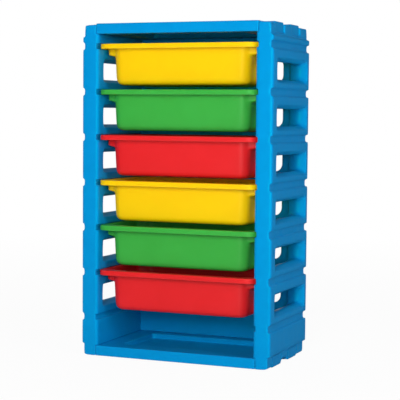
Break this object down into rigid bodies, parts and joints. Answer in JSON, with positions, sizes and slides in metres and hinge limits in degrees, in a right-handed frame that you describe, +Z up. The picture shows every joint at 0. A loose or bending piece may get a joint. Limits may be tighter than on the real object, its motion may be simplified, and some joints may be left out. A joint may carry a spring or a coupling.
{
  "type": "toy cabinet",
  "caption": "Free-standing toy cabinet: tiered, windowed plastic side panels carry open pull-out bins by their rims above an open bottom shelf.",
  "frame": {"origin": "middle of the footprint, on the floor", "axes": "+Z up, -Y towards the open front that the bins pull out of, +X to the right as seen from the front"},
  "size_m": [0.604, 0.332, 0.994],
  "materials": {
    "panel_blue": "blow-moulded polyethylene, satin, light moulding grain",
    "bin_yellow": "injection-moulded polypropylene, semi-gloss",
    "bin_green": "injection-moulded polypropylene, semi-gloss",
    "bin_red": "injection-moulded polypropylene, semi-gloss",
    "screw_steel": "zinc-plated steel"
  },
  "bodies": {
    "cabinet": {"left_side_panel": "panel_blue", "right_side_panel": "panel_blue", "top_board": "panel_blue", "base_board": "panel_blue", "back_panel": "panel_blue", "top_screws": "screw_steel", "base_screws": "screw_steel"},
    "bin_1": {"bin_1_yellow": "bin_yellow"},
    "bin_2": {"bin_2_green": "bin_green"},
    "bin_3": {"bin_3_red": "bin_red"},
    "bin_4": {"bin_4_yellow": "bin_yellow"},
    "bin_5": {"bin_5_green": "bin_green"},
    "bin_6": {"bin_6_red": "bin_red"}
  },
  "joints": [
    {"name": "bin_1_slide", "type": "slide", "parent": "cabinet", "child": "bin_1", "axis": [0, -1, 0], "range_m": [0, 0.26]},
    {"name": "bin_2_slide", "type": "slide", "parent": "cabinet", "child": "bin_2", "axis": [0, -1, 0], "range_m": [0, 0.26]},
    {"name": "bin_3_slide", "type": "slide", "parent": "cabinet", "child": "bin_3", "axis": [0, -1, 0], "range_m": [0, 0.26]},
    {"name": "bin_4_slide", "type": "slide", "parent": "cabinet", "child": "bin_4", "axis": [0, -1, 0], "range_m": [0, 0.26]},
    {"name": "bin_5_slide", "type": "slide", "parent": "cabinet", "child": "bin_5", "axis": [0, -1, 0], "range_m": [0, 0.26]},
    {"name": "bin_6_slide", "type": "slide", "parent": "cabinet", "child": "bin_6", "axis": [0, -1, 0], "range_m": [0, 0.26]}
  ]
}
